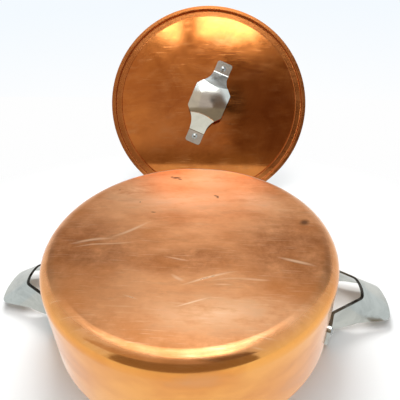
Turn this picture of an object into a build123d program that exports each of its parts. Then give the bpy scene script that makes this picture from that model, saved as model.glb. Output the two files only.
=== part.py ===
from build123d import *
import os
from math import asin, atan2, cos, degrees, radians, sin, sqrt

# Round copper pan with two side handles, and its lid with a bow handle.
# The pan stands upside down on its rim and the lid leans behind it. Millimetres, +Z up.
# The origin is the centre of the rim, and the side handles lie along X.

# Pan
pan_outer_radius = 141.0
pan_height = 88.0
base_corner_radius = 15.5
copper_wall = 2.0
lining_wall = 0.5
rim_edge_round = 0.4
lining_rim_setback = 0.5

# Lid
lid_overhang = 0.9
lid_copper = 1.5
lid_lining = 0.5
lid_lining_setback = 0.5
lid_fit_clearance = 0.7
lid_groove_width = 8.0
lid_groove_depth = 3.4
lid_groove_slope = 1.0
lid_step_lean = 1.5
lid_step_up = 3.6
lid_dome_rise = 3.5
lid_bend_radius = 1.2

# How the lid leans: degrees back from upright, its turn about Z and the point where its edge stands
lid_lean = 32.8
lid_turn = 5.0
lid_foot_x = 10.4
lid_foot_gap = 50.8

# Side handles: a strap whose feet stand upright on the wall, and whose legs and grip flare outwards.
# Its line is set at its top edge and again at its bottom edge, before the grip's lower edge is trimmed.
strap_thickness = 3.0
strap_bottom = 3.0
strap_top = 27.0
strap_seat_gap = 0.05
foot_start_angle = 15.0
foot_end_angle = 22.8
foot_corner_radius = 6.0
leg_bend_radius = 6.0
leg_bend_turn_top = 42.5
leg_bend_turn_low = 68.6
grip_out_top = 32.5
grip_out_low = 69.5
grip_half_width_top = 17.0
grip_half_width_low = 26.1
grip_bow_turn = 15.0
grip_corner_round = 9.0
grip_trim_start = 6.0
grip_trim_end = 25.0
grip_trim_height = 8.5

# Lid handle: a pressed sheet with a domed crown, two wings, two legs and two feet
bow_turn = 24.5
bow_sheet = 2.3
bow_height = 21.0
bow_foot_end = 62.5
bow_foot_bend = 45.0
bow_foot_width = 22.5
bow_foot_corner = 3.5
bow_top_half_length = 18.0
bow_neck = 31.0
bow_neck_width = 25.0
bow_neck_curve = 24.0
bow_wing_half_length = 17.0
bow_wing_half_width = 25.5
bow_wing_corner = 4.0
bow_wing_drop = 3.0
bow_crease_round = 6.0
bow_bend_round = 3.0

# Rivets
rivet_shank_radius = 2.45
rivet_hole_clearance = 0.05
rivet_head_radius = 4.2
rivet_head_height = 2.4
rivet_inner_radius = 4.0
rivet_inner_height = 1.1
rivet_seat_gap = 0.07
side_rivet_angle = 18.8
side_rivet_height = 15.5
bow_rivet_reach = 52.7

# Sizes that follow from the ones above
rivet_hole_radius = rivet_shank_radius + rivet_hole_clearance
pan_wall = copper_wall + lining_wall
pan_inner_radius = pan_outer_radius - pan_wall
lid_radius = pan_outer_radius + lid_overhang
lid_sheet = lid_copper + lid_lining
strap_inner_radius = pan_outer_radius + strap_seat_gap
strap_mid_radius = strap_inner_radius + strap_thickness / 2
os.makedirs("parts", exist_ok=True)


def save(piece, name):
    """Label a finished piece and write it under its node's name."""
    piece.label = name
    export_step(piece, f"parts/{name}.step")
    print(name, len(piece.solids()), "solid, volume", round(piece.volume))


def cap_middle(crown, brim):
    """The point halfway along a round cap's arc, whose centre lies on the axis."""
    rise = crown[1] - brim[1]
    radius = (brim[0] ** 2 + rise**2) / (2 * rise)
    half = asin(brim[0] / abs(radius)) / 2
    return abs(radius) * sin(half), crown[1] - radius * (1 - cos(half))


def rivet(seat, grip):
    """One rivet, its round head outside on the seat plane and its low head on the far side."""
    section = Plane(origin=seat.origin, x_dir=seat.x_dir, z_dir=-seat.y_dir)
    with BuildPart() as piece:
        with BuildSketch(section):
            with BuildLine():
                crown = (0, rivet_seat_gap + rivet_head_height)
                brim = (rivet_head_radius, rivet_seat_gap)
                low_seat = -grip - rivet_seat_gap
                low_brim = (rivet_inner_radius, low_seat)
                tip = (0, low_seat - rivet_inner_height)
                ThreePointArc(crown, cap_middle(crown, brim), brim)
                Polyline(brim, (rivet_shank_radius, rivet_seat_gap), (rivet_shank_radius, low_seat), low_brim)
                ThreePointArc(low_brim, cap_middle(tip, low_brim), tip)
                Line(tip, crown)
            make_face()
        revolve(axis=Axis(seat.origin, seat.z_dir))
    return piece.part


# Pan: the copper shell outside and the steel lining inside share one curve
def pan_section(inset, rim):
    """The pan's half section from its base centre to its rim's height, moved in from the outside."""
    radius = pan_outer_radius - inset
    top = pan_height - inset
    round_in = base_corner_radius - inset
    base = Line((0, top), (radius - round_in, top))
    corner = JernArc(start=base @ 1, tangent=base % 1, radius=round_in, arc_size=-90)
    wall = Line(corner @ 1, (radius, rim))
    return base, wall


def pan_layer(outside, inside, rim):
    """The layer of the pan between two insets, before its rivet holes."""
    with BuildPart() as layer:
        with BuildSketch(Plane.XZ):
            with BuildLine():
                outer_base, outer_wall = pan_section(outside, rim)
                inner_base, inner_wall = pan_section(inside, rim)
                Line(outer_base @ 0, inner_base @ 0)
                Line(outer_wall @ 1, inner_wall @ 1)
            make_face()
        revolve(axis=Axis.Z)
    return layer.part


side_rivets = {
    "right_near": -side_rivet_angle,
    "right_far": side_rivet_angle,
    "left_near": 180 + side_rivet_angle,
    "left_far": 180 - side_rivet_angle,
}


def rivet_ray(angle, reach):
    """The plane across a rivet's axis at a distance from the pan's own axis."""
    way = Vector(cos(radians(angle)), sin(radians(angle)), 0)
    return Plane(origin=way * reach + Vector(0, 0, side_rivet_height), x_dir=(0, 0, 1), z_dir=way)


with BuildPart() as pan_copper:
    add(pan_layer(0, copper_wall, 0))
    fillet(pan_copper.edges().group_by(Axis.Z)[0].sort_by(SortBy.LENGTH)[-1], rim_edge_round)
    for angle in side_rivets.values():
        with BuildSketch(rivet_ray(angle, 0)):
            Circle(rivet_hole_radius)
        extrude(amount=pan_outer_radius + copper_wall, mode=Mode.SUBTRACT)
save(pan_copper.part, "pan_copper_shell")

with BuildPart() as pan_steel:
    add(pan_layer(copper_wall, pan_wall, lining_rim_setback))
    for angle in side_rivets.values():
        with BuildSketch(rivet_ray(angle, 0)):
            Circle(rivet_hole_radius)
        extrude(amount=pan_outer_radius, mode=Mode.SUBTRACT)
save(pan_steel.part, "pan_lining")


# Side handle: a strap on edge, joined between its line at the top and its wider line at the bottom
def strap_line(out, half_width, bend_turn):
    """The middle line of half a strap: the grip's bowed front, a corner, the leg, its bend and the foot."""
    foot = CenterArc((0, 0), strap_mid_radius, foot_end_angle, foot_start_angle - foot_end_angle)
    bend = JernArc(start=foot @ 1, tangent=foot % 1, radius=leg_bend_radius, arc_size=bend_turn)
    turn = radians(grip_bow_turn)
    bow_radius = (half_width - grip_corner_round * (1 - sin(turn))) / sin(turn)
    front = JernArc(start=(pan_outer_radius + out, 0), tangent=(0, 1), radius=bow_radius, arc_size=grip_bow_turn)
    corner_middle = front @ 1 - Vector(cos(turn), sin(turn), 0) * grip_corner_round
    span = bend @ 1 - corner_middle
    leg_heading = degrees(atan2(span.Y, span.X) + asin(grip_corner_round / span.length))
    corner = JernArc(start=front @ 1, tangent=front % 1, radius=grip_corner_round,
                     arc_size=leg_heading - 90 - grip_bow_turn)
    Line(corner @ 1, bend @ 1)


strap_lines = {
    strap_bottom: (grip_out_low, grip_half_width_low, leg_bend_turn_low),
    strap_top: (grip_out_top, grip_half_width_top, leg_bend_turn_top),
}

with BuildPart() as half_strap:
    for height, line in strap_lines.items():
        with BuildSketch(Plane.XY.offset(height)):
            with BuildLine():
                strap_line(*line)
            trace(line_width=strap_thickness)
    loft(ruled=True)
    tips = half_strap.edges().filter_by(lambda e: abs(e.length - strap_thickness) < 0.01).group_by(Axis.X)[0]
    fillet(tips, foot_corner_radius)
    with BuildSketch(rivet_ray(side_rivet_angle, pan_outer_radius - copper_wall)):
        Circle(rivet_hole_radius)
    extrude(amount=3 * strap_thickness, mode=Mode.SUBTRACT)
    with BuildSketch(Plane.XZ):
        trim_start = pan_outer_radius + grip_trim_start
        trim_end = pan_outer_radius + grip_trim_end
        Polygon((trim_start, strap_bottom), (trim_end, grip_trim_height), (2 * trim_end, grip_trim_height),
                (2 * trim_end, 0), (trim_start, 0), align=None)
    extrude(amount=pan_outer_radius, both=True, mode=Mode.SUBTRACT)

with BuildPart() as side_handle:
    add(half_strap.part)
    mirror(half_strap.part, about=Plane.XZ)
save(side_handle.part, "side_handle_right")

left_handle = side_handle.part.rotate(Axis.Z, 180)
save(left_handle, "side_handle_left")

side_grip = strap_inner_radius + strap_thickness - pan_inner_radius
for place, angle in side_rivets.items():
    seat = rivet_ray(angle, strap_inner_radius + strap_thickness)
    save(rivet(seat, side_grip), f"rivet_{place}")

# Lid: one folded sheet section, in copper outside and steel inside
lean = radians(lid_lean)
turn = radians(lid_turn)
back_way = Vector(-sin(turn), cos(turn), 0)
lid_foot = Vector(lid_foot_x, pan_outer_radius + lid_foot_gap, 0)
lid_rise = lid_radius * cos(lean) - lid_lining * sin(lean)
lid_plane = Plane(
    origin=lid_foot + back_way * lid_radius * sin(lean) + Vector(0, 0, lid_rise),
    x_dir=(cos(turn), sin(turn), 0),
    z_dir=back_way * -cos(lean) + Vector(0, 0, sin(lean)),
)
lid_axis = Axis(lid_plane.origin, lid_plane.z_dir)
lid_section = Plane(origin=lid_plane.origin, x_dir=lid_plane.x_dir, z_dir=-lid_plane.y_dir)

groove_outside = pan_inner_radius - lid_fit_clearance - lid_sheet
groove_inside = groove_outside - lid_groove_width
field_height = lid_sheet - lid_groove_depth + lid_step_up
lid_corners = [
    (lid_radius, lid_sheet),
    (groove_outside + lid_groove_slope, lid_sheet),
    (groove_outside, lid_sheet - lid_groove_depth),
    (groove_inside, lid_sheet - lid_groove_depth),
    (groove_inside - lid_step_lean, field_height),
]
dome_reach = lid_corners[-1][0]
dome_top = field_height + lid_dome_rise
dome_radius = (dome_reach**2 + lid_dome_rise**2) / (2 * lid_dome_rise)

# The lid handle's plane lies where its feet end on the dome, and its X runs along the handle
foot_drop = dome_radius - sqrt(dome_radius**2 - bow_foot_end**2)
bow_angle = radians(90 - bow_turn)
bow_plane = Plane(
    origin=lid_plane.origin + lid_plane.z_dir * (dome_top - foot_drop),
    x_dir=lid_plane.x_dir * cos(bow_angle) + lid_plane.y_dir * sin(bow_angle),
    z_dir=lid_plane.z_dir,
)


def dome_point(share, depth):
    """A point of the dome at a share of its reach and a depth under its top."""
    x = dome_reach * share
    radius = dome_radius - depth
    return x, dome_top - dome_radius + sqrt(radius**2 - x**2)


def lid_line(depth, rim):
    """The lid's section line at a depth under its top surface: mitred corners, then the dome."""
    points = [(rim, lid_sheet - depth)]
    dome_start = degrees(asin(dome_reach / dome_radius))
    headings = [atan2(b[1] - a[1], b[0] - a[0]) for a, b in zip(lid_corners, lid_corners[1:])]
    headings.append(radians(180 - dome_start))
    for corner, before, after in zip(lid_corners[1:], headings, headings[1:]):
        aim = (before + after) / 2
        reach = depth / cos((after - before) / 2)
        points.append((corner[0] - sin(aim) * reach, corner[1] + cos(aim) * reach))
    edge = Polyline(*points) if depth else FilletPolyline(*points, radius=lid_bend_radius)
    dome = ThreePointArc(edge @ 1, dome_point(0.5, depth), (0, dome_top - depth))
    return edge, dome


def lid_layer(top, bottom, rim):
    """The layer of the lid between two depths, out to its rim's radius."""
    with BuildPart() as layer:
        with BuildSketch(lid_section):
            with BuildLine():
                upper_edge, upper_dome = lid_line(top, rim)
                lower_edge, lower_dome = lid_line(bottom, rim)
                Line(upper_edge @ 0, lower_edge @ 0)
                Line(upper_dome @ 1, lower_dome @ 1)
            make_face()
        revolve(axis=lid_axis)
        with BuildSketch(bow_plane):
            with Locations((bow_rivet_reach, 0), (-bow_rivet_reach, 0)):
                Circle(rivet_hole_radius)
        extrude(amount=4 * lid_sheet, both=True, mode=Mode.SUBTRACT)
    return layer.part


save(lid_layer(0, lid_copper, lid_radius), "lid_copper_shell")
save(lid_layer(lid_copper, lid_sheet, lid_radius - lid_lining_setback), "lid_lining")


# Lid handle, in its own plane: two nested hoods with domed crowns leave a sheet, cut to its outline
crown_radius = (bow_wing_half_width**2 + bow_wing_drop**2) / (2 * bow_wing_drop)
leg_spread = (bow_foot_bend - bow_top_half_length) / (bow_height - bow_sheet)


def hood(depth):
    """The block under the handle's outer surface, or under a surface at a depth inside it."""
    def half_length(height):
        return bow_top_half_length + (bow_height - height) * leg_spread - depth * sqrt(1 + leg_spread**2)

    floor, peak = -2 * bow_sheet, bow_height + bow_sheet
    with BuildPart() as block:
        with BuildSketch(Plane.XZ):
            Polygon((-half_length(floor), floor), (half_length(floor), floor), (half_length(peak), peak),
                    (-half_length(peak), peak), align=None)
        extrude(amount=2 * bow_wing_half_width, both=True)
        with Locations((0, 0, bow_height - crown_radius)):
            # Laid on its side, the sphere keeps its pole and its seam off the crown
            Sphere(crown_radius - depth, rotation=(90, 0, 0), mode=Mode.INTERSECT)
        creases = block.edges().filter_by(lambda e: abs(e.center().Y) < bow_sheet and e.center().Z > 0)
        fillet(creases, bow_crease_round - depth)
    return block.part


with BuildPart() as bow:
    add(hood(0))
    add(hood(bow_sheet), mode=Mode.SUBTRACT)
    with BuildSketch():
        Rectangle(2 * bow_foot_end, bow_foot_width)
        Rectangle(2 * bow_foot_bend - bow_sheet, bow_foot_width, mode=Mode.SUBTRACT)
    extrude(amount=bow_sheet)
    bends = bow.edges().filter_by(Axis.Y).filter_by(
        lambda e: abs(abs(e.center().X) - bow_foot_bend) < 0.01 and abs(e.center().Z - bow_sheet) < 0.01
    )
    fillet(bends, bow_bend_round)
    with BuildSketch() as outline:
        with BuildLine():
            Polyline((bow_foot_end, 0), (bow_foot_end, bow_foot_width / 2), (bow_foot_bend, bow_foot_width / 2),
                     (bow_neck, bow_neck_width / 2), (bow_wing_half_length, bow_wing_half_width),
                     (0, bow_wing_half_width))
            mirror(about=Plane.YZ)
            mirror(about=Plane.XZ)
        make_face()
        rounds = {bow_foot_end: bow_foot_corner, bow_neck: bow_neck_curve, bow_wing_half_length: bow_wing_corner}
        for reach, radius in rounds.items():
            fillet(outline.vertices().filter_by(lambda v: abs(abs(v.X) - reach) < 0.01), radius)
    extrude(amount=2 * bow_height, mode=Mode.INTERSECT)
    with Locations((0, 0, foot_drop - dome_radius)):
        Sphere(dome_radius + strap_seat_gap, mode=Mode.SUBTRACT)
    with BuildSketch():
        with Locations((bow_rivet_reach, 0), (-bow_rivet_reach, 0)):
            Circle(rivet_hole_radius)
    extrude(amount=4 * bow_sheet, both=True, mode=Mode.SUBTRACT)
save(bow.part.moved(bow_plane.location), "lid_handle")

lid_rivet_drop = dome_radius - sqrt(dome_radius**2 - bow_rivet_reach**2)
bow_grip = bow_sheet + lid_sheet + lid_rivet_drop
for place, reach in (("upper", bow_rivet_reach), ("lower", -bow_rivet_reach)):
    seat_origin = bow_plane.origin + bow_plane.x_dir * reach + bow_plane.z_dir * bow_sheet
    seat = Plane(origin=seat_origin, x_dir=bow_plane.y_dir, z_dir=bow_plane.z_dir)
    save(rivet(seat, bow_grip), f"rivet_lid_{place}")
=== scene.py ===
# %% [markdown]
# A copper pan upside down on its rim, with its lid leaning behind it.
# The solid model already has every piece at its real size and place, so this
# script brings it in as it is, and spends its effort on the metal: how copper
# and stainless steel were finished, how they wear, and what they mirror.

# %% Load the solid model
import bpy
import math
import numpy as np
from mathutils import Matrix, Vector

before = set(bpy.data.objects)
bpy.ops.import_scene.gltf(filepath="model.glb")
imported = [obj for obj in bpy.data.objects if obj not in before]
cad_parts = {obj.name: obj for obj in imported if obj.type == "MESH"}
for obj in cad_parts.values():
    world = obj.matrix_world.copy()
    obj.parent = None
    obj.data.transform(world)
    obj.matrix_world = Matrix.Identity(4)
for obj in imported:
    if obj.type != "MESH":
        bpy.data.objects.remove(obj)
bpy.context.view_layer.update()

MM = 0.001
print("nodes:", sorted(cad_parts))

# %% [markdown]
# Colours are picked as sRGB hex values, the way a paint chart gives them, but
# the renderer adds light in linear values. One function turns the first into
# the second. A second function adds any shader node, sets it, links it and
# hands back the output that is wanted, so a pattern reads from top to bottom.

# %% Colour and node helpers
def linear(hex_code):
    """Each sRGB channel c becomes c/12.92 when dark, else ((c+0.055)/1.055)^2.4; alpha is 1."""
    channels = [int(hex_code[i:i + 2], 16) / 255 for i in (0, 2, 4)]
    bright = [c / 12.92 if c <= 0.04045 else ((c + 0.055) / 1.055) ** 2.4 for c in channels]
    return (*bright, 1.0)


def add_node(tree, kind, inputs=None, give=0, **settings):
    """Add a node, set its properties, give inputs a value or a link, and return one output."""
    node = tree.nodes.new(kind)
    for name, value in settings.items():
        setattr(node, name, value)
    for name, value in (inputs or {}).items():
        if isinstance(value, bpy.types.NodeSocket):
            tree.links.new(value, node.inputs[name])
        else:
            node.inputs[name].default_value = value
    return node.outputs[give] if len(node.outputs) else None


print("copper at its plain colour:", [round(c, 3) for c in linear("E8A878")])

# %% [markdown]
# The camera stands close to the pan and looks down on it, a little rolled. Its
# place comes from the target on the table, the distance, the elevation and the
# turn, so that the view can be read back from a few real sizes.

# %% Camera
CAMERA_DISTANCE = 593.5 * MM
CAMERA_ELEVATION = math.radians(34.07)
CAMERA_ROLL = math.radians(-1.28)
CAMERA_TURN = math.radians(5.0)
CAMERA_TARGET = (11.1 * MM, 190.8 * MM, 0.0)
CAMERA_LENS = 36.07


def place_camera():
    """The eye is the target plus distance times the back direction; the roll turns right and up."""
    sine, cosine = math.sin(CAMERA_ELEVATION), math.cos(CAMERA_ELEVATION)
    back = Vector((0, -cosine, sine))
    level_right, level_up = Vector((1, 0, 0)), Vector((0, sine, cosine))
    right = level_right * math.cos(CAMERA_ROLL) + level_up * math.sin(CAMERA_ROLL)
    up = level_up * math.cos(CAMERA_ROLL) - level_right * math.sin(CAMERA_ROLL)
    pose = Matrix((right, up, back)).transposed().to_4x4()
    pose.translation = Vector(CAMERA_TARGET) + back * CAMERA_DISTANCE
    camera = bpy.data.objects.new("camera", bpy.data.cameras.new("camera"))
    camera.data.lens = CAMERA_LENS
    camera.data.clip_start = 10 * MM
    camera.matrix_world = Matrix.Rotation(CAMERA_TURN, 4, "Z") @ pose
    bpy.context.collection.objects.link(camera)
    bpy.context.scene.camera = camera
    return camera


camera = place_camera()
bpy.context.scene.view_settings.view_transform = "Standard"
print("camera at", [round(c, 3) for c in camera.matrix_world.translation])

# %% [markdown]
# Polished metal has almost no colour of its own in the dark: it shows the room.
# So the room matters more here than the lamps do. The world is the white
# backdrop. It could be one flat white, but then it would also light the object
# from all sides and wash the shadows out. Light Path tells the two apart: the
# eye and the mirrored rays see full white, and the object gets less of it.

# %% World
WORLD_FILL = 0.4
BACKDROP_WHITE = "FFFFFF"
BACKDROP_TOP = "F4FAFF"
BLUISH_FROM, BLUISH_TO = -0.36, -0.14  # the height of the view direction, -1 down and 1 up


def make_world():
    """White to the eye and in reflections, dimmer as light on the object, a little bluer above."""
    world = bpy.data.worlds.new("white_studio")
    world.use_nodes = True
    tree = world.node_tree
    tree.nodes.clear()
    path = add_node(tree, "ShaderNodeLightPath").node.outputs
    seen = add_node(tree, "ShaderNodeMath", {0: path["Is Camera Ray"], 1: path["Is Glossy Ray"]},
                    operation="MAXIMUM")
    seen = add_node(tree, "ShaderNodeMath", {0: seen, 1: path["Is Transmission Ray"]}, operation="MAXIMUM")
    strength = add_node(tree, "ShaderNodeMapRange", {"Value": seen, "To Min": WORLD_FILL, "To Max": 1.0})
    way = add_node(tree, "ShaderNodeTexCoord", give="Generated")
    rise = add_node(tree, "ShaderNodeSeparateXYZ", {0: way}, give="Z")
    high = add_node(tree, "ShaderNodeMapRange", {"Value": rise, "From Min": BLUISH_FROM,
                                                 "From Max": BLUISH_TO})
    tint = add_node(tree, "ShaderNodeMix", {0: high, 6: linear(BACKDROP_WHITE), 7: linear(BACKDROP_TOP)},
                    give=2, data_type="RGBA")
    light = add_node(tree, "ShaderNodeBackground", {"Color": tint, "Strength": strength})
    add_node(tree, "ShaderNodeOutputWorld", {"Surface": light})
    bpy.context.scene.world = world


make_world()
print("world fill", WORLD_FILL)

# %% [markdown]
# All the lamps are soft rectangles at ceiling height. In a mirror a lamp is
# also a shape: the two ceiling lamps are the bright patch at the top of the
# lid. The window lamp is wide, and lights the base from above. The lamp behind
# the object is only there for light and shadow, so reflections don't see it.

# %% Lamps
LAMP_HEIGHT = 1.5
LAMPS = [  # name, place and aim seen from above, width, depth, watts
    ("window_lamp", (0.0, 0.32), (0.0, 0.32), 0.8, 0.36, 5.5),
    ("spot_far_left", (-0.7, 0.26), (-0.7, 0.26), 0.22, 0.16, 1.0),
    ("spot_left", (-0.5, -0.12), (-0.5, -0.12), 0.2, 0.16, 0.8),
    ("back_lamp", (-0.2, 1.3), (0.0, 0.0), 0.9, 0.5, 24.0),
    ("ceiling_lamp_left", (-0.15, -0.3), (-0.15, -0.3), 0.13, 0.38, 0.9),
    ("ceiling_lamp_right", (0.24, -0.27), (0.24, -0.27), 0.42, 0.4, 2.6),
]


def soft_lamp(name, place, aim, width, depth, power):
    """A rectangular area lamp at ceiling height that faces its aim on the table."""
    data = bpy.data.lights.new(name, "AREA")
    data.shape = "RECTANGLE"
    data.size, data.size_y = width, depth
    data.energy = power
    lamp = bpy.data.objects.new(name, data)
    way = Vector((*aim, 0.0)) - Vector((*place, LAMP_HEIGHT))
    turned = way.to_track_quat("-Z", "Y").to_matrix().to_4x4()
    lamp.matrix_world = Matrix.Translation((*place, LAMP_HEIGHT)) @ turned
    bpy.context.collection.objects.link(lamp)


for lamp_row in LAMPS:
    soft_lamp(*lamp_row)
bpy.data.objects["back_lamp"].visible_glossy = False
print("lamps:", len(LAMPS))

# %% [markdown]
# Behind the photographer, and above and beside the backdrop, the room is brown
# and half dark, and that is what puts depth into the copper. Flat cards that
# glow evenly stand in for it. Only reflections see them: the eye, the diffuse
# light and the shadows don't, so the picture stays white. One small white card
# between the pan and the lid keeps the lower leg of the lid's handle bright,
# which would mirror the brown of the pan without it.

# %% Cards for the room
ROOM_Y = -1.2
BACK_Y = 1.2
ROOM_CARDS = [  # name, depth y, span of x, rise of z, colour
    ("room_low", ROOM_Y, (-1.1, 1.15), (0.02, 1.08), "8E7C66"),
    ("room_left", ROOM_Y, (-2.6, -0.36), (1.08, 2.95), "D2C2B0"),
    ("room_middle", ROOM_Y, (-0.36, 0.36), (1.08, 2.95), "C0B0A6"),
    ("room_right", ROOM_Y, (0.36, 1.3), (1.08, 2.4), "725B4B"),
    ("room_right_top", ROOM_Y, (0.36, 1.3), (2.4, 2.95), "C0B0A6"),
    ("dark_spot", ROOM_Y + 0.02, (0.27, 0.5), (1.45, 1.78), "1E1A18"),
    ("back_left", BACK_Y, (-2.4, -0.45), (0.86, 1.9), "7E6247"),
    ("back_middle", BACK_Y, (-0.45, 0.28), (1.0, 1.7), "C4B4A6"),
    ("back_right", BACK_Y, (0.28, 2.2), (0.95, 1.8), "7E6247"),
    ("back_far_left", BACK_Y - 0.02, (-2.6, -0.85), (0.95, 1.9), "231C18"),
    ("back_far_right", BACK_Y - 0.02, (0.62, 2.4), (0.95, 1.9), "231C18"),
    ("white_between", 0.152, (-0.1, 0.12), (0.0, 0.086), "F2EEE4"),
]


def grid_mesh(name, points):
    """A mesh of quads over a grid of points, shape (rows, columns, 3)."""
    rows, columns = points.shape[:2]
    index = np.arange(rows * columns).reshape(rows, columns)
    quads = np.stack([index[:-1, :-1], index[:-1, 1:], index[1:, 1:], index[1:, :-1]], axis=-1)
    mesh = bpy.data.meshes.new(name)
    mesh.from_pydata(points.reshape(-1, 3).tolist(), [], quads.reshape(-1, 4).tolist())
    piece = bpy.data.objects.new(name, mesh)
    bpy.context.collection.objects.link(piece)
    return piece


def upright_card(name, y, span, rise, colour):
    """A flat card across X at one depth y: x runs over span and z over rise; it glows evenly."""
    x, z = np.meshgrid(span, rise)
    card = grid_mesh(name, np.stack([x, np.full_like(x, y), z], axis=-1))
    material = bpy.data.materials.new(name)
    material.use_nodes = True
    tree = material.node_tree
    tree.nodes.clear()
    light = add_node(tree, "ShaderNodeEmission", {"Color": linear(colour)})
    add_node(tree, "ShaderNodeOutputMaterial", {"Surface": light})
    card.data.materials.append(material)
    card.visible_camera = card.visible_diffuse = card.visible_shadow = False


for card_row in ROOM_CARDS:
    upright_card(*card_row)
print("cards:", len(ROOM_CARDS))

# %% [markdown]
# The table is matt white paper, and it carries the object's shadow. A lit sheet
# is never quite as white as the backdrop, and its far edge would show. So the
# paper fades to plain white outside an oval round the object, for the eye only.
# The oval is squeezed along X, because the side handles make the shadow wide.

# %% Floor
PAPER_WHITE = "F4F5F4"
PLAIN_WHITE = "FEFEFE"
PAPER_ROUGHNESS = 0.9
FLOOR_CENTRE = (0.0, 0.02)
SHADOW_REACH = 0.205
WHITE_FROM = 0.34
HANDLE_SQUEEZE = 0.78
MIRRORED_WHITE = 0.9
FLOOR_POINTS = 9


def paper_material():
    """Paper near the object, plain white further out to the eye, nearly white all over in mirrors."""
    material = bpy.data.materials.new("matt_white_paper")
    material.use_nodes = True
    tree = material.node_tree
    paper = tree.nodes["Principled BSDF"]
    paper.inputs["Base Color"].default_value = linear(PAPER_WHITE)
    paper.inputs["Roughness"].default_value = PAPER_ROUGHNESS
    place = add_node(tree, "ShaderNodeTexCoord", give="Object")
    narrow = add_node(tree, "ShaderNodeVectorMath", {0: place, 1: (HANDLE_SQUEEZE, 1.0, 1.0)},
                      operation="MULTIPLY")
    away = add_node(tree, "ShaderNodeVectorMath", {0: narrow, 1: (*FLOOR_CENTRE, 0.0)}, give="Value",
                    operation="DISTANCE")
    fade = add_node(tree, "ShaderNodeMapRange", {"Value": away, "From Min": SHADOW_REACH,
                                                 "From Max": WHITE_FROM}, interpolation_type="SMOOTHSTEP")
    path = add_node(tree, "ShaderNodeLightPath").node.outputs
    looked_at = add_node(tree, "ShaderNodeMath", {0: fade, 1: path["Is Camera Ray"]}, operation="MULTIPLY")
    mirrored = add_node(tree, "ShaderNodeMath", {0: path["Is Glossy Ray"], 1: MIRRORED_WHITE},
                        operation="MULTIPLY")
    share = add_node(tree, "ShaderNodeMath", {0: looked_at, 1: mirrored}, operation="MAXIMUM")
    white = add_node(tree, "ShaderNodeEmission", {"Color": linear(PLAIN_WHITE), "Strength": 1.0})
    mixed = add_node(tree, "ShaderNodeMixShader", {0: share, 1: paper.outputs[0], 2: white})
    tree.links.new(mixed, tree.nodes["Material Output"].inputs["Surface"])
    return material


def make_floor(x_reach, y_near, y_far):
    """A flat sheet, z = 0: x runs from -x_reach to x_reach and y from near to far."""
    x, y = np.meshgrid(np.linspace(-x_reach, x_reach, FLOOR_POINTS),
                       np.linspace(y_near, y_far, FLOOR_POINTS))
    floor = grid_mesh("floor", np.stack([x, y, np.zeros_like(x)], axis=-1))
    floor.data.materials.append(paper_material())


make_floor(x_reach=1.6, y_near=-1.1, y_far=0.62)
print("floor fades to white from", SHADOW_REACH, "m")

# %% [markdown]
# Every metal here is a Principled shader with its metallic value near 1. What
# tells them apart is the pattern on top: each pattern is a number from 0 to 1
# over the surface, and the colour, the gloss and the relief are all steered by
# such numbers. A soft spot of any length, width and direction is a stain, and
# one that is very long and narrow is a scratch that tapers at both ends. Noise
# that is drawn out along one direction is brushing and wiping.

# %% Helpers for patterns
BASE_HEIGHT = 88 * MM
SPOT_DEPTH = 5 * MM


def start_material(name, metallic=1.0):
    """A new metal: its material, its node tree, its shader and the object's own coordinates."""
    material = bpy.data.materials.new(name)
    material.use_nodes = True
    tree = material.node_tree
    shader = tree.nodes["Principled BSDF"]
    shader.inputs["Metallic"].default_value = metallic
    return material, tree, shader, add_node(tree, "ShaderNodeTexCoord", give="Object")


def soft_spot(tree, place, middle, half_length, half_width, turn):
    """1 at the middle, falling evenly to 0 on an ellipse; millimetres and degrees, at the base's height."""
    there = add_node(tree, "ShaderNodeMapping", {
        "Vector": place, "Location": (middle[0] * MM, middle[1] * MM, BASE_HEIGHT),
        "Rotation": (0, 0, math.radians(turn)), "Scale": (half_length * MM, half_width * MM, SPOT_DEPTH)},
        vector_type="TEXTURE")
    return add_node(tree, "ShaderNodeTexGradient", {"Vector": there}, give="Fac", gradient_type="SPHERICAL")


def strongest_spot(tree, place, spots):
    """The highest of many soft spots at each point."""
    strongest, *others = [soft_spot(tree, place, *spot) for spot in spots]
    for spot in others:
        strongest = add_node(tree, "ShaderNodeMath", {0: strongest, 1: spot}, operation="MAXIMUM")
    return strongest


def streaks(tree, place, turn, per_metre, detail, roughness=0.6):
    """Noise with so many features to a metre along X, Y and Z, so it is long where they are few.

    The turn comes after the scale, so the streaks stay along X: it only picks
    another part of the noise, and two patterns of one scale come out different.
    """
    drawn = add_node(tree, "ShaderNodeMapping", {"Vector": place, "Rotation": (0, 0, math.radians(turn)),
                                                 "Scale": per_metre})
    return add_node(tree, "ShaderNodeTexNoise", {"Vector": drawn, "Scale": 1.0, "Detail": detail,
                                                 "Roughness": roughness}, give="Fac")


def shaken(tree, place, per_metre, detail, reach):
    """Each point moved by up to half the reach each way: place + (noise - 0.5) * reach."""
    noise = add_node(tree, "ShaderNodeTexNoise", {"Vector": place, "Scale": per_metre, "Detail": detail},
                     give="Color")
    both_ways = add_node(tree, "ShaderNodeVectorMath", {0: noise, 1: (0.5, 0.5, 0.5)}, operation="SUBTRACT")
    shift = add_node(tree, "ShaderNodeVectorMath", {0: both_ways, "Scale": reach}, operation="SCALE")
    return add_node(tree, "ShaderNodeVectorMath", {0: place, 1: shift}, operation="ADD")


def lay_colours(tree, ground, layers):
    """Colours laid one over another: each starts where its pattern passes start, up to its strength at full."""
    for pattern, start, full, strength, colour in layers:
        share = add_node(tree, "ShaderNodeMapRange", {"Value": pattern, "From Min": start, "From Max": full,
                                                      "To Max": strength})
        ground = add_node(tree, "ShaderNodeMix", {0: share, 6: ground, 7: linear(colour)},
                          give=2, data_type="RGBA")
    return ground


print("base at", BASE_HEIGHT, "m")

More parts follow.
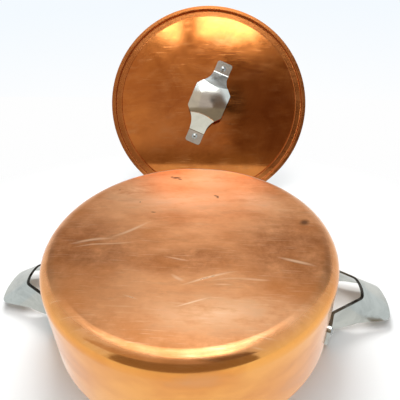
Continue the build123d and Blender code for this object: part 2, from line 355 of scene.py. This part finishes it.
# %% [markdown]
# The pan is copper sheet, spun and then sanded to a satin sheen. Its base has
# stood on hobs for years: it is the dullest part, clouded light and brown, and
# rubbed with fine scratches. Some of the light and brown is painted light: pale
# patches at its back and front are painted highlight, and darker lobes on its
# left, right and middle are painted shade. Some marks on it are big enough to be
# placed one by one, from their real places on the base in millimetres. The rest
# is noise, whose scale comes from the size that such clouds and streaks really
# have.

# %% Marks on the base
# Each is its middle, half its length, half its width, and its turn in degrees
BROWN_MARKS = [
    ((-26, 107), 7, 3.5, 10), ((-21, 104), 4, 2, -20), ((-31, 108), 3, 2, 0),
    ((23, 70), 4, 1.6, -25), ((25, 68), 1.8, 3.2, 0),
    ((-59, 55), 1.3, 1.3, 0), ((-87, 78), 1.3, 1.3, 0),
    ((113, 26), 8, 6, 40), ((125, -58), 4, 2.5, 60), ((-41, 37), 4, 1.2, 0),
]
PALE_SCRATCHES = [
    ((-88, -10), 26, 2.4, 14), ((-60, 6), 28, 2.6, 36), ((-76, -16), 32, 1.5, 10),
    ((-4, -53), 9, 2.2, -32), ((24, -54), 32, 2.0, 18), ((46, -57), 26, 2.0, 7),
    ((-12, -31), 13, 1.4, 0), ((98, -32), 28, 2.0, -20), ((-41, -77), 11, 1.4, -18),
    ((-50, -89), 19, 1.4, 0), ((35, -66), 11, 1.4, -4), ((12, -84), 15, 1.2, 16),
]
# Painted shade: darker lobes on the left, right and middle of the base, the dark parts of the room that it
# mirrors
PAINTED_SHADE_LOBES = [((-96, -20), 76, 52, -12), ((96, -14), 66, 62, 20), ((6, -34), 74, 22, 6)]
# Painted highlight: pale patches at the back and front of the base, the bright backdrop that it mirrors
PAINTED_HIGHLIGHT_PATCHES = [
    ((0, 104), 90, 34, 0), ((-10, 62), 95, 34, 4), ((-70, 78), 40, 26, 30),
    ((60, 66), 45, 24, -24), ((30, -92), 80, 26, 4),
]
CLEAN_MIDDLE = ((0, 0), 135, 135, 0)
print(len(BROWN_MARKS), "marks,", len(PALE_SCRATCHES), "scratches")

# %% Patterns on the base
# Features to a metre along X, Y and Z: 1000 divided by their size in millimetres
CLOUDS_PER_M = (17, 30, 24)  # 60 x 33 mm
STREAKS_PER_M = (26, 84, 60)  # 38 x 12 mm
HAIRLINES_PER_M = (34, 640, 90)  # 1.6 mm apart; the real grit is 0.1 mm and would not show
OTHER_HAIRLINES_PER_M = (40, 560, 90)  # 1.8 mm apart, drawn coarser as well
BLOTCHES_PER_M = 62.0  # 16 mm
PATCHES_PER_M = (13, 13, 22)  # 77 mm, where cleaning took the shine off the wall
EDGE_SHAKES_PER_M = 70.0  # 14 mm: a mark's edge is ragged
LINE_SWAYS_PER_M = 18.0  # 55 mm: a scratch bends slowly


def pan_patterns(tree, place):
    """Every pattern on the pan by name, each a number from 0 to 1."""
    ragged = shaken(tree, place, EDGE_SHAKES_PER_M, 3.0, 4 * MM)
    swayed = shaken(tree, place, LINE_SWAYS_PER_M, 0.0, 16 * MM)
    return {
        "brown": strongest_spot(tree, ragged, BROWN_MARKS),
        "scratch": strongest_spot(tree, swayed, PALE_SCRATCHES),
        "middle": soft_spot(tree, place, *CLEAN_MIDDLE),
        # painted shade lobes
        "painted_shade_lobe": strongest_spot(tree, place, PAINTED_SHADE_LOBES),
        # painted highlight patches
        "painted_highlight": strongest_spot(tree, place, PAINTED_HIGHLIGHT_PATCHES),
        "cloud": streaks(tree, place, 6, CLOUDS_PER_M, 6.0, 0.62),
        "streak": streaks(tree, place, 10, STREAKS_PER_M, 6.0, 0.7),
        "hair": streaks(tree, place, 9, HAIRLINES_PER_M, 4.0),
        "cross": streaks(tree, place, -24, OTHER_HAIRLINES_PER_M, 3.0),
        "blotch": add_node(tree, "ShaderNodeTexNoise", {"Vector": place, "Scale": BLOTCHES_PER_M, "Detail": 5.0,
                                                        "Roughness": 0.7}, give="Fac"),
        "patch": streaks(tree, place, 0, PATCHES_PER_M, 4.0, 0.55),
    }


print("clouds of about", round(1000 / CLOUDS_PER_M[0]), "x", round(1000 / CLOUDS_PER_M[1]), "mm")

# %% [markdown]
# The base's colour is laid on in layers: clean copper, clouds, the browner ring
# outside the middle, pale patches of painted highlight, darker lobes of painted
# shade, streaks, hairlines, then the single scratches, which show fresh copper,
# and the burnt marks last. The wall is cleaner and redder, with pinkish patches.

# %% Colour of the pan
SATIN_FROM, SATIN_FULL = BASE_HEIGHT - 3.5 * MM, BASE_HEIGHT - 0.1 * MM
BASE_COLOUR_FROM, BASE_COLOUR_FULL = BASE_HEIGHT - 9 * MM, BASE_HEIGHT - 0.5 * MM
CLEAN_BASE = "F0AE7A"
CLEAN_WALL = "FAB05A"


def wear_and_painted_light_shares(tree, pattern):
    """Where two patterns meet, as products or as the stronger of the two."""
    pairs = {  # pattern, start and full, twice
        "outer": (("middle", 0.5, 0.1), ("blotch", 0.2, 0.6), "MULTIPLY"),
        # the darker share on the base is painted shade, mottled by the blotches
        "darker": (("painted_shade_lobe", 0.0, 0.6), ("blotch", 0.25, 0.7), "MULTIPLY"),
        # the light share is painted highlight, streaked
        "light": (("painted_highlight", 0.0, 1.0), ("streak", 0.3, 0.6), "MULTIPLY"),
        "hairline": (("hair", 0.58, 0.74), ("cross", 0.62, 0.76), "MAXIMUM"),
    }
    shares = {}
    for name, (one, other, operation) in pairs.items():
        ends = [add_node(tree, "ShaderNodeMapRange", {"Value": pattern[key], "From Min": start,
                                                      "From Max": full})
                for key, start, full in (one, other)]
        shares[name] = add_node(tree, "ShaderNodeMath", {0: ends[0], 1: ends[1]}, operation=operation)
    return shares


def pan_colour(tree, pattern, height):
    """The base's layered colour above, the wall's below, and a fade between them on the corner."""
    share = wear_and_painted_light_shares(tree, pattern)
    body = lay_colours(tree, linear(CLEAN_BASE), [
        (pattern["cloud"], 0.36, 0.66, 1.0, "D08A54"),
        (share["outer"], 0.0, 1.0, 0.55, "C27638"),
        # painted highlight on the base
        (share["light"], 0.0, 1.0, 1.0, "FFD0A4"),
        # painted shade on the base
        (share["darker"], 0.0, 1.0, 0.8, "9C5A2C"),
        (pattern["streak"], 0.5, 0.72, 0.35, "A66A3C"),
        (share["hairline"], 0.0, 1.0, 0.3, "FFDDB8"),
        (pattern["scratch"], 0.0, 0.7, 0.75, "FFDCB6"),
        (pattern["brown"], 0.1, 0.7, 0.85, "5E3A20"),
    ])
    wall = lay_colours(tree, linear(CLEAN_WALL), [
        (pattern["patch"], 0.42, 0.62, 1.0, "EC9C4C"),
        (pattern["patch"], 0.6, 0.72, 0.4, "D6A27C"),
    ])
    base = add_node(tree, "ShaderNodeMapRange", {"Value": height, "From Min": BASE_COLOUR_FROM,
                                                 "From Max": BASE_COLOUR_FULL})
    return add_node(tree, "ShaderNodeMix", {0: base, 6: wall, 7: body}, give=2, data_type="RGBA")


print("the base's colour begins", round((BASE_HEIGHT - BASE_COLOUR_FROM) / MM), "mm below its top")

# %% [markdown]
# Gloss says how sharp the mirror is. The flat base was rubbed dull by hobs, and
# burnt marks are duller still, while a scratch shines at its bottom. The corner
# and the wall, which a cloth reaches, are nearly polished. Relief is only what
# the light needs to find: hairlines all over the base, scratches pressed in,
# and slow waves about 50 mm long, left by the spinning.

# %% Gloss and relief of the pan
WAVES_PER_M = 20.0
HAIRLINE_RELIEF = 0.03
SCRATCH_RELIEF = -0.1


def pan_gloss(tree, pattern, satin):
    """Roughness 0.3 to 0.4 on the base, more in marks and less in scratches, 0.1 to 0.24 on the wall."""
    base = add_node(tree, "ShaderNodeMapRange", {"Value": pattern["cloud"], "From Min": 0.3, "From Max": 0.7,
                                                 "To Min": 0.3, "To Max": 0.4})
    base = add_node(tree, "ShaderNodeMath", {0: pattern["brown"], 1: 0.15, 2: base}, operation="MULTIPLY_ADD")
    base = add_node(tree, "ShaderNodeMath", {0: pattern["scratch"], 1: -0.08, 2: base},
                    operation="MULTIPLY_ADD")
    wall = add_node(tree, "ShaderNodeMapRange", {"Value": pattern["patch"], "From Min": 0.4, "From Max": 0.7,
                                                 "To Min": 0.1, "To Max": 0.24})
    return add_node(tree, "ShaderNodeMix", {0: satin, 2: wall, 3: base})


def pan_relief(tree, place, pattern, satin):
    """Height of 1 mm at most: waves everywhere, hairlines where it is satin, minus the scratches."""
    wave = add_node(tree, "ShaderNodeTexNoise", {"Vector": place, "Scale": WAVES_PER_M, "Detail": 1.0},
                    give="Fac")
    lines = add_node(tree, "ShaderNodeMath", {0: pattern["hair"], 1: pattern["cross"]}, operation="ADD")
    lines = add_node(tree, "ShaderNodeMath", {0: lines, 1: satin}, operation="MULTIPLY")
    relief = add_node(tree, "ShaderNodeMath", {0: lines, 1: HAIRLINE_RELIEF, 2: wave}, operation="MULTIPLY_ADD")
    relief = add_node(tree, "ShaderNodeMath", {0: pattern["scratch"], 1: SCRATCH_RELIEF, 2: relief},
                      operation="MULTIPLY_ADD")
    return add_node(tree, "ShaderNodeBump", {"Height": relief, "Strength": 0.5, "Distance": 1.0 * MM})


print("waves about", round(1000 / WAVES_PER_M), "mm long")

# %% Satin worn copper
def satin_copper():
    """Satin on the flat base, nearly polished on the corner and the wall, where a cloth reaches it."""
    material, tree, shader, place = start_material("satin_worn_copper", metallic=0.88)
    height = add_node(tree, "ShaderNodeSeparateXYZ", {0: place}, give="Z")
    satin = add_node(tree, "ShaderNodeMapRange", {"Value": height, "From Min": SATIN_FROM,
                                                  "From Max": SATIN_FULL})
    pattern = pan_patterns(tree, place)
    tree.links.new(pan_colour(tree, pattern, height), shader.inputs["Base Color"])
    tree.links.new(pan_gloss(tree, pattern, satin), shader.inputs["Roughness"])
    tree.links.new(pan_relief(tree, place, pattern, satin), shader.inputs["Normal"])
    return material


SATIN_COPPER = satin_copper()
print("made", SATIN_COPPER.name, "with", len(SATIN_COPPER.node_tree.nodes), "nodes")

# %% [markdown]
# The lid was hardly heated, so its copper kept the buffed polish it left the
# works with. It mirrors the room almost sharply. A wiping cloth left cloudy
# streaks that soften the picture, use left fine scratches, and the rolled edge
# outside the groove, which hands and hobs touch, has gone dull. Distance from
# the lid's own axis tells the edge from the middle, so a Mapping node turns the
# coordinates into the lid's own plane first.

# %% The lid's own coordinates
LID_MIDDLE = (3.70 * MM, 268.37 * MM, 119.01 * MM)
LID_TILT = (math.radians(57.2), 0.0, math.radians(5.0))
LID_EDGE_FROM, LID_EDGE_FULL = 126 * MM, 131 * MM


def lid_edge(tree, on_lid):
    """0 in the middle and 1 on the edge, by the distance from the lid's axis."""
    flat = add_node(tree, "ShaderNodeVectorMath", {0: on_lid, 1: (1, 1, 0)}, operation="MULTIPLY")
    reach = add_node(tree, "ShaderNodeVectorMath", {0: flat}, give="Value", operation="LENGTH")
    return add_node(tree, "ShaderNodeMapRange", {"Value": reach, "From Min": LID_EDGE_FROM,
                                                 "From Max": LID_EDGE_FULL})


print("the lid is dull from", round(LID_EDGE_FROM / MM), "mm outwards")

# %% Buffed copper
LID_CLOUDS_PER_M = 17.0  # 60 mm
LID_WIPES_PER_M = (26, 62, 30)  # 38 x 16 mm
LID_HAIRLINES_PER_M = (30, 900, 60)  # 1.1 mm apart; the real ones are finer and would not show
LID_OTHER_HAIRLINES_PER_M = (26, 800, 60)  # 1.25 mm apart, drawn coarser as well
LID_BLOTCHES_PER_M = 75.0  # 13 mm
LID_WAVES_PER_M = 15.0  # 67 mm
CLEAN_LID = "DC8C4A"
DULL_EDGE = "B06C3A"


def lid_patterns(tree, on_lid):
    """Every pattern on the lid by name, each a number from 0 to 1."""
    fine = [streaks(tree, on_lid, 35, LID_HAIRLINES_PER_M, 2.0),
            streaks(tree, on_lid, -50, LID_OTHER_HAIRLINES_PER_M, 2.0)]
    shown = [add_node(tree, "ShaderNodeMapRange", {"Value": lines, "From Min": start, "From Max": full})
             for lines, (start, full) in zip(fine, ((0.64, 0.78), (0.66, 0.8)))]
    return {
        "edge": lid_edge(tree, on_lid),
        "cloud": add_node(tree, "ShaderNodeTexNoise", {"Vector": on_lid, "Scale": LID_CLOUDS_PER_M, "Detail": 6.0,
                                                       "Roughness": 0.62, "Distortion": 0.8}, give="Fac"),
        "wipe": streaks(tree, on_lid, 58, LID_WIPES_PER_M, 5.0),
        "hairline": add_node(tree, "ShaderNodeMath", {0: shown[0], 1: shown[1]}, operation="MAXIMUM"),
        "blotch": add_node(tree, "ShaderNodeTexNoise", {"Vector": on_lid, "Scale": LID_BLOTCHES_PER_M,
                                                        "Detail": 5.0, "Roughness": 0.7}, give="Fac"),
        "wave": add_node(tree, "ShaderNodeTexNoise", {"Vector": on_lid, "Scale": LID_WAVES_PER_M,
                                                      "Detail": 1.0}, give="Fac"),
    }


def lid_colour(tree, pattern):
    """Clouded and wiped copper with pale hairlines, and a browner, duller edge."""
    body = lay_colours(tree, linear(CLEAN_LID), [
        (pattern["cloud"], 0.35, 0.66, 1.0, "BE6F36"),
        (pattern["wipe"], 0.52, 0.74, 0.5, "DE9C66"),
        (pattern["hairline"], 0.0, 1.0, 0.35, "FFD2A0"),
    ])
    darker = lay_colours(tree, linear(DULL_EDGE), [(pattern["blotch"], 0.3, 0.7, 1.0, "9E5E30")])
    share = add_node(tree, "ShaderNodeMath", {0: pattern["edge"], 1: 0.7}, operation="MULTIPLY")
    return add_node(tree, "ShaderNodeMix", {0: share, 6: body, 7: darker}, give=2, data_type="RGBA")


def buffed_copper():
    """Polished copper, roughness 0.1 to 0.18 and 0.14 more on the edge, in slow waves 1 mm high at most."""
    material, tree, shader, place = start_material("buffed_copper")
    on_lid = add_node(tree, "ShaderNodeMapping", {"Vector": place, "Location": LID_MIDDLE, "Rotation": LID_TILT},
                      vector_type="TEXTURE")
    pattern = lid_patterns(tree, on_lid)
    tree.links.new(lid_colour(tree, pattern), shader.inputs["Base Color"])

    gloss = add_node(tree, "ShaderNodeMapRange", {"Value": pattern["wipe"], "From Min": 0.35, "From Max": 0.7,
                                                  "To Min": 0.1, "To Max": 0.18})
    gloss = add_node(tree, "ShaderNodeMath", {0: pattern["edge"], 1: 0.14, 2: gloss}, operation="MULTIPLY_ADD")
    tree.links.new(gloss, shader.inputs["Roughness"])

    pitted = add_node(tree, "ShaderNodeMath", {0: pattern["blotch"], 1: pattern["edge"]}, operation="MULTIPLY")
    relief = add_node(tree, "ShaderNodeMath", {0: pattern["hairline"], 1: -0.03, 2: pattern["wave"]},
                      operation="MULTIPLY_ADD")
    relief = add_node(tree, "ShaderNodeMath", {0: pitted, 1: 0.03, 2: relief}, operation="MULTIPLY_ADD")
    bump = add_node(tree, "ShaderNodeBump", {"Height": relief, "Strength": 0.5, "Distance": 1.0 * MM})
    tree.links.new(bump, shader.inputs["Normal"])
    return material


BUFFED_COPPER = buffed_copper()
print("made", BUFFED_COPPER.name, "with", len(BUFFED_COPPER.node_tree.nodes), "nodes")

# %% [markdown]
# The handles are folded stainless sheet, tumbled and polished. It is a grey
# mirror whose picture wobbles, because a press never leaves sheet quite flat,
# and fingers leave it hazy in patches. Rivets are rod ends, set with a hammer
# and polished with the rest. One function serves all three, since they differ
# only in how grey and how hazy they are.

# %% Polished stainless steels
HAZE_PER_M = 40.0  # 25 mm
STEEL_HAIRLINES_PER_M = (60, 1000, 300)  # 1 mm apart, coarser than the real ones
DENTS_PER_M = 45.0  # 22 mm
HAZE_FROM, HAZE_FULL = 0.38, 0.64


def polished_stainless(name, clean, hazy, clean_gloss, hazy_gloss):
    """Grey metal with haze in patches, hairlines and slow dents."""
    material, tree, shader, place = start_material(name)
    haze = add_node(tree, "ShaderNodeTexNoise", {"Vector": place, "Scale": HAZE_PER_M, "Detail": 5.0,
                                                 "Roughness": 0.6, "Distortion": 0.6}, give="Fac")
    hair = streaks(tree, place, 30, STEEL_HAIRLINES_PER_M, 2.0)
    colour = lay_colours(tree, linear(clean), [(haze, HAZE_FROM, HAZE_FULL, 1.0, hazy)])
    tree.links.new(colour, shader.inputs["Base Color"])
    gloss = add_node(tree, "ShaderNodeMapRange", {"Value": haze, "From Min": HAZE_FROM, "From Max": HAZE_FULL,
                                                  "To Min": clean_gloss, "To Max": hazy_gloss})
    tree.links.new(gloss, shader.inputs["Roughness"])
    dents = add_node(tree, "ShaderNodeTexNoise", {"Vector": place, "Scale": DENTS_PER_M, "Detail": 1.0},
                     give="Fac")
    relief = add_node(tree, "ShaderNodeMath", {0: hair, 1: 0.02, 2: dents}, operation="MULTIPLY_ADD")
    bump = add_node(tree, "ShaderNodeBump", {"Height": relief, "Strength": 0.4, "Distance": 0.6 * MM})
    tree.links.new(bump, shader.inputs["Normal"])
    return material


HANDLE_STEEL = polished_stainless("polished_stainless_sheet", "C2C4BD", "B0B3AD", 0.1, 0.22)
LID_HANDLE_STEEL = polished_stainless("buffed_stainless_sheet", "DEDFD8", "D0D1CA", 0.1, 0.2)
RIVET_STEEL = polished_stainless("polished_stainless_rod", "B9BBB8", "9C9E9C", 0.08, 0.2)
print("made three polished steels")

# %% [markdown]
# The lining is rolled sheet with a plain brushed finish. It keeps its hairlines
# in one direction, and they blur the mirror until only light and dark are left.
# The real hairlines are too fine to show and are drawn coarser.

# %% Brushed stainless steel
BRUSHING_PER_M = (30, 600, 600)  # 33 mm long and 1.7 mm apart


def brushed_stainless():
    """Grey hairlines in colour, gloss and relief alike."""
    material, tree, shader, place = start_material("brushed_stainless")
    hair = streaks(tree, place, 0, BRUSHING_PER_M, 3.0)
    colour = lay_colours(tree, linear("C4C6C8"), [(hair, 0.35, 0.65, 1.0, "B2B4B7")])
    tree.links.new(colour, shader.inputs["Base Color"])
    gloss = add_node(tree, "ShaderNodeMapRange", {"Value": hair, "To Min": 0.22, "To Max": 0.42})
    tree.links.new(gloss, shader.inputs["Roughness"])
    bump = add_node(tree, "ShaderNodeBump", {"Height": hair, "Strength": 0.15, "Distance": 0.1 * MM})
    tree.links.new(bump, shader.inputs["Normal"])
    return material


LINING_STEEL = brushed_stainless()
print("made", LINING_STEEL.name)

# %% [markdown]
# Each solid came in as its own object with its own name. Putting a metal in its
# material slots dresses it, and the mesh itself is left alone. Whatever is not
# in the list is a rivet.

# %% Give every node its metal
FINISH = {
    "pan_copper_shell": SATIN_COPPER,
    "pan_lining": LINING_STEEL,
    "side_handle_right": HANDLE_STEEL,
    "side_handle_left": HANDLE_STEEL,
    "lid_copper_shell": BUFFED_COPPER,
    "lid_lining": LINING_STEEL,
    "lid_handle": LID_HANDLE_STEEL,
}


def dress(name, material):
    """Put one material in every slot of a node's object."""
    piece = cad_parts[name]
    if not piece.material_slots:
        piece.data.materials.append(material)
    for slot in piece.material_slots:
        slot.material = material


for node_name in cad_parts:
    dress(node_name, FINISH.get(node_name, RIVET_STEEL))
print("dressed", len(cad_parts), "nodes")
